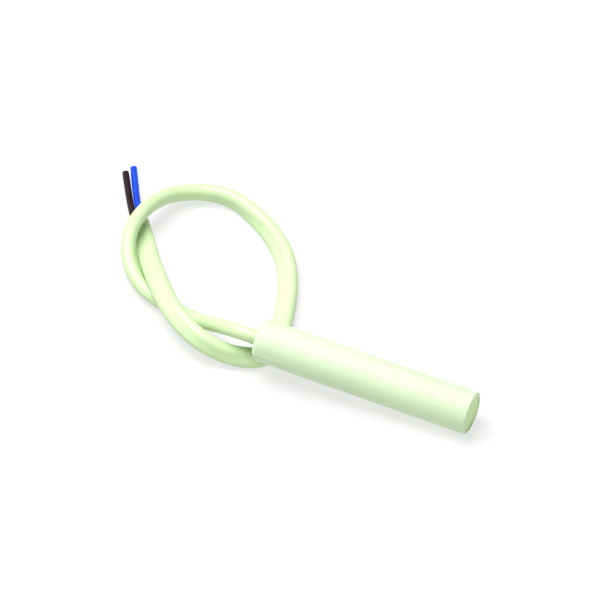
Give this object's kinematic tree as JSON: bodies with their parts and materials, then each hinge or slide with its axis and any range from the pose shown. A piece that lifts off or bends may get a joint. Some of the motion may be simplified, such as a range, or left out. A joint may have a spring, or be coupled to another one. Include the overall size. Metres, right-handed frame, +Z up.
{
  "type": "reed proximity sensor",
  "caption": "Plain round plastic sensor capsule, potted, on a short flat two-core flex tied in a loose overhand loop and ending in cut brown and blue insulated cores.",
  "frame": {"origin": "on the resting surface, below the middle of the capsule's own box; the flex lies on the same surface", "axes": "+X towards the capsule's nose, +Y across it towards the loop of flex, +Z up; the capsule's axis dips 4.5 degrees towards the nose in the XZ plane"},
  "size_m": [0.1013, 0.052, 0.0133],
  "materials": {
    "capsule_plastic": "satin moulded thermoplastic, pale greenish ivory",
    "plug_plastic": "satin cast resin face, pale greenish ivory",
    "potting_resin": "cast epoxy",
    "reed_glass": "clear green-tinted glass",
    "buffer_silicone": "translucent silicone rubber",
    "reed_alloy": "nickel-iron wire, bright",
    "brown_pvc": "extruded soft plastic, brown",
    "blue_pvc": "extruded soft plastic, blue",
    "copper": "bright copper strands",
    "solder": "bright solder",
    "shrink_tube": "black heat-shrink tube",
    "flex_pvc": "satin extruded soft plastic, pale greenish white"
  },
  "bodies": {
    "root": {"capsule_sleeve": "capsule_plastic", "nose_plug": "plug_plastic", "potting_fill": "potting_resin", "reed_glass_tube": "reed_glass", "glass_buffer_sleeve": "buffer_silicone", "reed_lead_rear": "reed_alloy", "reed_lead_front": "reed_alloy", "brown_core_inner": "brown_pvc", "blue_core_inner": "blue_pvc", "brown_conductor_inner": "copper", "blue_conductor_inner": "copper", "rear_solder_joint": "solder", "front_solder_joint": "solder", "rear_joint_shrink": "shrink_tube", "front_joint_shrink": "shrink_tube", "flex_sheath": "flex_pvc", "brown_core_free_end": "brown_pvc", "blue_core_free_end": "blue_pvc", "brown_conductor_free_end": "copper", "blue_conductor_free_end": "copper"},
    "rear_blade": {"reed_blade_rear": "reed_alloy"},
    "front_blade": {"reed_blade_front": "reed_alloy"}
  },
  "joints": [
    {"name": "rear_blade_bend", "type": "hinge", "parent": "root", "child": "rear_blade", "pos_m": [0.0032, 0.0011, 0.00661], "axis": [0, 1, 0], "range_deg": [0, 0.68], "stiffness_Nm_per_rad": 0.04},
    {"name": "front_blade_bend", "type": "hinge", "parent": "root", "child": "front_blade", "pos_m": [0.01295, 0.0011, 0.00552], "axis": [0, 1, 0], "range_deg": [0, 0.68], "stiffness_Nm_per_rad": 0.04}
  ]
}
